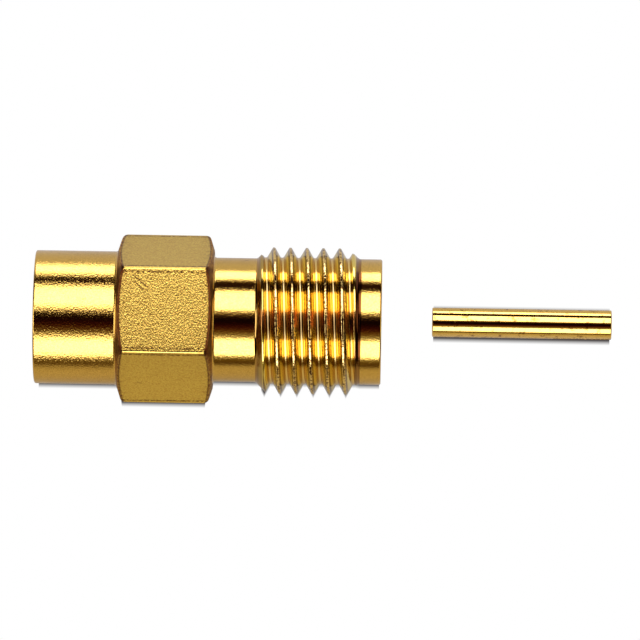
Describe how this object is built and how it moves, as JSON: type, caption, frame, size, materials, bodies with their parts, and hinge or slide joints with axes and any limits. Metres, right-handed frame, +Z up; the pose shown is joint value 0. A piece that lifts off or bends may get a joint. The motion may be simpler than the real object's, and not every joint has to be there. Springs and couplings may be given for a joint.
{
  "type": "coaxial cable jack",
  "caption": "Gold-plated threaded coaxial jack for semi-rigid cable: hex body with a cable hub, insulator inside, and its loose socket contact laid in front.",
  "frame": {"origin": "centre of the reference plane, the floor of the mating recess on which the plug's outer contact lands", "axes": "+X along the connector's axis, out of the mating recess; +Z up, out of the hexagon flat opposite the one that the body lies on; +Y completes a right-handed frame"},
  "size_m": [0.0248, 0.0072, 0.0064],
  "materials": {
    "gold_body": "gold plated, fine turned grain",
    "insulator": "plain white fluoropolymer",
    "gold_contact": "gold plated, smooth"
  },
  "bodies": {
    "root": {"body": "gold_body", "insulator": "insulator", "contact": "gold_contact"}
  },
  "joints": []
}
